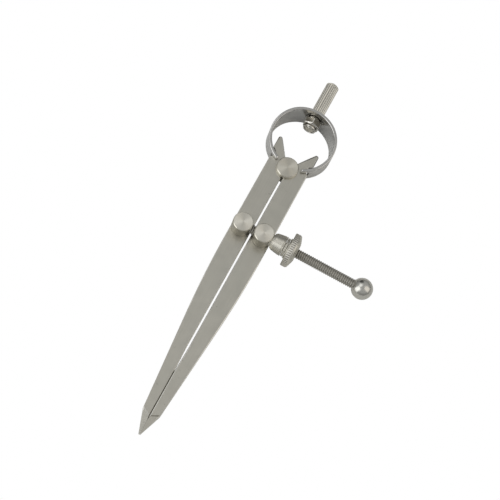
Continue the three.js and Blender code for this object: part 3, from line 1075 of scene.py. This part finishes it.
@dataclass(frozen=True)
class Nut(SubAssembly):
    """The bush, the thrust washer and the knurled nut that opens and closes the legs."""

    bore: float = 2.5
    bush_spigot: tuple[float, float] = (2.45, 3.05)  # length and radius
    bush_nose: tuple[float, float] = (1.0, 3.6)  # its chamfer's length, and the radius it starts from
    bush_nose_break: tuple[float, float] = (0.15, 0.1)  # length and drop
    bush_waist: float = 4.3
    bush_rise: float = 0.08  # how far the taper ends below the collar
    bush_end_break: tuple[float, float] = (0.2, 0.25)
    groove: float = 0.26
    groove_ends: tuple[float, float, float, float] = (1.0, 0.9, 0.55, 0.45)  # back from the bush's end
    collar_rise: float = 0.02
    washer_break: float = 0.2
    shoulder: float = 5.2
    shoulder_length: float = 0.7
    shoulder_break: float = 0.15
    rim_length: float = 3.25
    rim_break: float = 0.45
    rim_middle: float = 0.3  # the broken edge's middle corner, as a share of its width
    rim_slope: tuple[float, float] = (0.85, 0.45)  # length and drop of the rim's sloped far edge
    run_out: float = 0.1  # the length in which the teeth fade
    face: tuple[float, float] = (0.35, 5.4)  # back from the end, and the radius there
    hub: float = 4.1
    bore_break: float = 0.45
    teeth_depth: float = 0.15

    def build(self) -> None:
        """Make the three pieces."""
        centre = on_axis(middle("knurled_nut"), Axis.X)
        steel = NUT_TURNED.build("turned_nut_steel", Axis.X, centre)
        publish(turned(self.bush_profile(), Axis.X, centre), "thrust_bush", [steel])
        publish(turned(self.washer_profile(), Axis.X, centre), "thrust_washer", [steel, self.edge])
        bm = turned(self.nut_profile(), Axis.X, centre)
        rim_start, rim_end = self.rim()
        span = (rim_start + self.rim_break, rim_end - self.rim_slope[0])
        knurl(bm, Axis.X, centre, span, half_height("knurled_nut") / MM, self.teeth_depth)
        teeth = NUT_KNURL.build("knurled_nut_steel", Axis.X, centre)
        publish(bm, "knurled_nut", [steel, self.edge, teeth])

    def rim(self) -> tuple[float, float]:
        """Where the nut's rim starts and ends along X, in millimetres."""
        start = low("knurled_nut").x / MM + self.shoulder_length
        return start, start + self.rim_length

    def bush_profile(self) -> Profile:
        """The bush's profile: spigot, chamfered nose, slow taper, a groove and a collar.

        Returns:
            (along, radius) pairs in millimetres.
        """
        start, end = low("thrust_bush").x / MM, high("thrust_bush").x / MM
        full = half_height("thrust_bush") / MM
        (spigot_length, spigot), (nose_length, nose) = self.bush_spigot, self.bush_nose
        foot = start + spigot_length
        shoulder = foot + nose_length
        nose_break, nose_drop = self.bush_nose_break
        end_break, end_drop = self.bush_end_break
        lip, floor_start, floor_end, collar = (end - back for back in self.groove_ends)
        return [
            (start, self.bore), (start, spigot), (foot, spigot), (foot, nose),
            (shoulder - nose_break, self.bush_waist - nose_drop), (shoulder, self.bush_waist),
            (lip, full - self.bush_rise), (floor_start, full - self.groove),
            (floor_end, full - self.groove), (collar, full - self.collar_rise),
            (end - end_break, full), (end, full - end_drop), (end, self.bore), (start, self.bore),
        ]

    def washer_profile(self) -> Profile:
        """The thrust washer's profile: a ring with its outer edges broken.

        Returns:
            (along, radius) pairs in millimetres.
        """
        left, right = low("thrust_washer").x / MM, high("thrust_washer").x / MM
        radius = half_height("thrust_washer") / MM
        side = radius - self.washer_break
        return [
            (left, self.bore), (left, side), (left + self.washer_break, radius),
            (right - self.washer_break, radius), (right, side), (right, self.bore), (left, self.bore),
        ]

    def nut_profile(self) -> Profile:
        """The nut's profile: shoulder, rim, coned face and hub.

        Returns:
            (along, radius) pairs in millimetres.
        """
        start, end = low("knurled_nut").x / MM, high("knurled_nut").x / MM
        radius = half_height("knurled_nut") / MM
        rim_start, rim_end = self.rim()
        corner = self.rim_break * self.rim_middle
        back, face_radius = self.face
        slope_length, slope_drop = self.rim_slope
        slope = rim_end - slope_length
        return [
            (start, self.bore), (start, self.shoulder - self.shoulder_break),
            (start + self.shoulder_break, self.shoulder), (rim_start, self.shoulder),
            (rim_start, radius - self.rim_break), (rim_start + corner, radius - corner),
            (rim_start + self.rim_break, radius), (slope, radius), (slope + self.run_out, radius),
            (rim_end, radius - slope_drop), (end - back, face_radius), (end, self.hub),
            (end, self.bore + self.bore_break), (end - self.bore_break, self.bore), (start, self.bore),
        ]


# ---------- floor, light and camera ----------


def board(name: str, size: float, material: Material, level: float = 0.0) -> Object:
    """Make a flat square board for the studio.

    Args:
        name: its name.
        size: the length of a side, in metres.
        material: its material.
        level: how high it lies above its origin, in metres.

    Returns:
        The board.
    """
    bm = bmesh.new()
    bmesh.ops.create_grid(bm, x_segments=1, y_segments=1, size=size / 2)
    bmesh.ops.translate(bm, vec=(0, 0, level), verts=bm.verts)
    return show(name, mesh_of(bm, name, [material]))


@dataclass(frozen=True)
class Softbox:
    """One large soft light."""

    name: str
    place: tuple[float, float, float]  # metres from the middle of the object
    size: tuple[float, float]
    power: float
    colour: str

    def build(self, aim: Vector) -> None:
        """Hang the light and turn it to the object.

        Args:
            aim: the point it faces, in metres.
        """
        lamp = bpy.data.lights.new(self.name, "AREA")
        lamp.shape = "RECTANGLE"
        lamp.size, lamp.size_y = self.size
        lamp.energy = self.power
        lamp.color = linear(self.colour)[:3]
        holder = show(self.name, lamp)
        holder.location = aim + Vector(self.place)
        holder.rotation_euler = (aim - holder.location).to_track_quat("-Z", "Y").to_euler()


@dataclass(frozen=True)
class Studio:
    """A white table and room, three soft lights, a black flag and the camera."""

    floor_size: float = 6.0
    floor_colour: str = "e7e7e5"
    wall_colours: tuple[str, str] = ("a8a8a6", "f8f8f6")  # low down, and towards the ceiling
    wall_heights: tuple[float, float] = (0.05, 0.5)  # sines of the elevations between which they blend
    wall_strength: float = 0.52
    flag_colour: str = "161616"
    flag_size: float = 0.42
    flag_place: tuple[float, float, float] = (-0.34, 0.62, 0.36)  # metres from the middle of the object
    aim: tuple[float, float, float] = (3.39, -46.37, 3.8)  # mm, the middle of the view
    azimuth: float = -86.65
    elevation: float = 67.44
    roll: float = 25.35
    distance: float = 620.9
    lens: float = 93.9
    softboxes: tuple[Softbox, ...] = (
        Softbox("left_softbox", (-1.22, -1.06, 0.8), (1.4, 2.0), 12.2, "ffffff"),
        Softbox("right_softbox", (1.28, 0.2, 1.26), (1.4, 2.0), 5.8, "fff6ea"),
        Softbox("overhead_softbox", (-0.9, 0.28, 1.6), (1.0, 1.0), 2.7, "ffffff"),
    )

    def build(self) -> None:
        """Make the floor, the room's light, the softboxes, the flag and the camera."""
        self.floor()
        self.walls()
        aim = Vector(self.aim) * MM
        for box in self.softboxes:
            box.build(aim)
        self.flag(aim)
        self.camera(aim)
        bpy.context.scene.view_settings.view_transform = "Standard"

    def walls(self) -> None:
        """Light the room, dim low down and pale above, for darker lines in the steel."""
        world = bpy.data.worlds.new("white_room")
        world.use_nodes = True
        tree = world.node_tree
        direction = add(tree, "TexCoord").outputs["Generated"]
        height = add(tree, "SeparateXYZ", {"Vector": direction}).outputs["Z"]
        share = ranged(tree, height, self.wall_heights)
        room = mixed(tree, share, *(linear(code) for code in self.wall_colours))
        wire(tree, tree.nodes["Background"], {"Color": room, "Strength": self.wall_strength})
        bpy.context.scene.world = world

    def floor(self) -> None:
        """Lay the white floor under the lowest point of the object."""
        material, tree = blank_material("white_table")
        # The table looks plain white, and reflects in the steel as the pale matt board it is.
        matt = add(tree, "BsdfDiffuse", {"Color": linear(self.floor_colour)}).outputs[0]
        white = add(tree, "Emission", {"Color": linear("ffffff"), "Strength": 1.0}).outputs[0]
        seen = add(tree, "LightPath").outputs["Is Camera Ray"]
        surface = add(tree, "MixShader", {0: seen, 1: matt, 2: white}).outputs[0]
        add(tree, "OutputMaterial", {"Surface": surface})
        floor = board("floor", self.floor_size, material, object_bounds()[0][2])
        floor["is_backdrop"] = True

    def flag(self, aim: Vector) -> None:
        """Stand a black card beyond the handle's end, out of view, to draw dark lines in the far edges.

        Args:
            aim: the point it faces, in metres.
        """
        material, tree = blank_material("black_cloth")
        cloth = add(tree, "BsdfDiffuse", {"Color": linear(self.flag_colour)}).outputs[0]
        add(tree, "OutputMaterial", {"Surface": cloth})
        card = board("black_flag", self.flag_size, material)
        card.location = aim + Vector(self.flag_place)
        card.rotation_euler = (aim - card.location).to_track_quat("Z", "Y").to_euler()
        card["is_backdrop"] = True

    def camera(self, aim: Vector) -> None:
        """Set the camera up.

        Args:
            aim: the point in the middle of its view, in metres.
        """
        azimuth, elevation = math.radians(self.azimuth), math.radians(self.elevation)
        reach = math.cos(elevation)
        away = Vector((reach * math.cos(azimuth), reach * math.sin(azimuth), math.sin(elevation)))
        data = bpy.data.cameras.new("camera")
        data.lens = self.lens
        data.clip_start = 0.01
        camera = show("camera", data)
        camera.location = aim + away * self.distance * MM
        level = (-away).to_track_quat("-Z", "Y")
        camera.rotation_euler = (level @ Quaternion((0, 0, 1), math.radians(self.roll))).to_euler()
        bpy.context.scene.camera = camera


def main() -> None:
    """Build every sub-assembly in order, then the studio."""
    logging.basicConfig(level=logging.INFO, format="%(name)s: %(message)s")
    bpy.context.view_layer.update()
    edge = EDGE_STEEL.build("bright_edge_steel")
    for sub_assembly in (Legs, Fulcrum, BowSpring, Handle, Posts, Screw, Nut):
        sub_assembly(edge).build()
    Studio().build()


if __name__ == "__main__":
    main()
